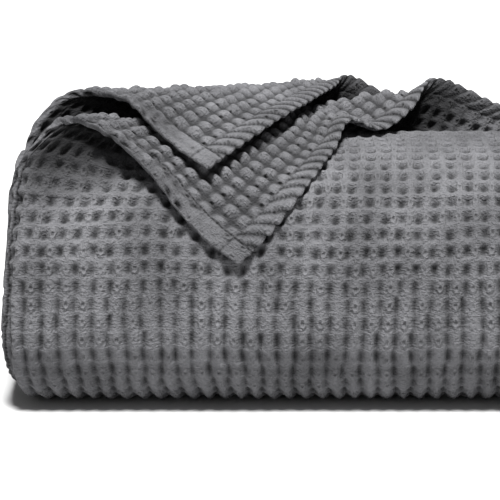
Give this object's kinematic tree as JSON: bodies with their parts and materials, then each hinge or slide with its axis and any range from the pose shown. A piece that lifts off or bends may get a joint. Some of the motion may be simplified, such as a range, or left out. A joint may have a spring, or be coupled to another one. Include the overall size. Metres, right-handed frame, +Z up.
{
  "type": "throw blanket",
  "caption": "Waffle-weave throw folded into a thick soft bundle, with one corner of its two outer leaves turned up and forward.",
  "frame": {"origin": "middle of the underside's bounding box, on the surface it rests on", "axes": "+X along the folded width, to the right seen from the front; -Y towards the front, where the rounded fold and the turned-up corners show; +Z up"},
  "size_m": [0.386, 0.2416, 0.1849],
  "materials": {
    "cotton": "matte charcoal cotton waffle weave"
  },
  "bodies": {
    "root": {"throw": "cotton"}
  },
  "joints": []
}
